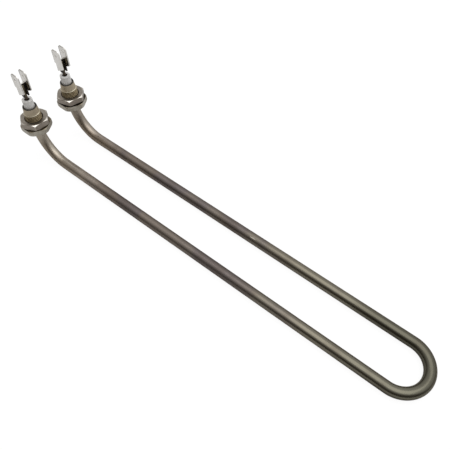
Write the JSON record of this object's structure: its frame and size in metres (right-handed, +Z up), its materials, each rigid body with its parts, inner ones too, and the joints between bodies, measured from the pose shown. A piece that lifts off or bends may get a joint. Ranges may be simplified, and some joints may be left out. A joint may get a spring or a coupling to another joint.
{
  "type": "tubular heating element",
  "caption": "Hairpin tubular heating element with upturned ends, each with a threaded flange fitting, lock nut, ceramic bush and twin push-on tab.",
  "frame": {"origin": "on the ground, below the middle of the whole element's box", "axes": "+X along the legs, from the terminals to the return bend; +Z up, the way the terminals point; the left side is -Y"},
  "size_m": [0.2768, 0.0471, 0.0652],
  "materials": {
    "sheath": "satin heat-tinted steel with lengthwise draw marks",
    "fitting": "turned steel with an olive straw tint from brazing",
    "braze": "smooth solder",
    "nut": "satin turned steel",
    "ceramic": "matt fired ceramic",
    "seal": "dark matt sealing compound",
    "pin": "dark oxidised steel",
    "tab": "bright tinned steel, scorched round the weld",
    "magnesia": "packed white powder",
    "coil": "bright drawn resistance wire"
  },
  "bodies": {
    "root": {"sheath_tube": "sheath", "magnesia_filling": "magnesia", "resistance_coil": "coil", "terminal_pin_left": "pin", "sheath_plug_left": "seal", "threaded_fitting_left": "fitting", "braze_ring_left": "braze", "hex_nut_left": "nut", "end_seal_left": "seal", "ceramic_bush_left": "ceramic", "twin_tab_left": "tab", "terminal_pin_right": "pin", "sheath_plug_right": "seal", "threaded_fitting_right": "fitting", "braze_ring_right": "braze", "hex_nut_right": "nut", "end_seal_right": "seal", "ceramic_bush_right": "ceramic", "twin_tab_right": "tab"}
  },
  "joints": []
}
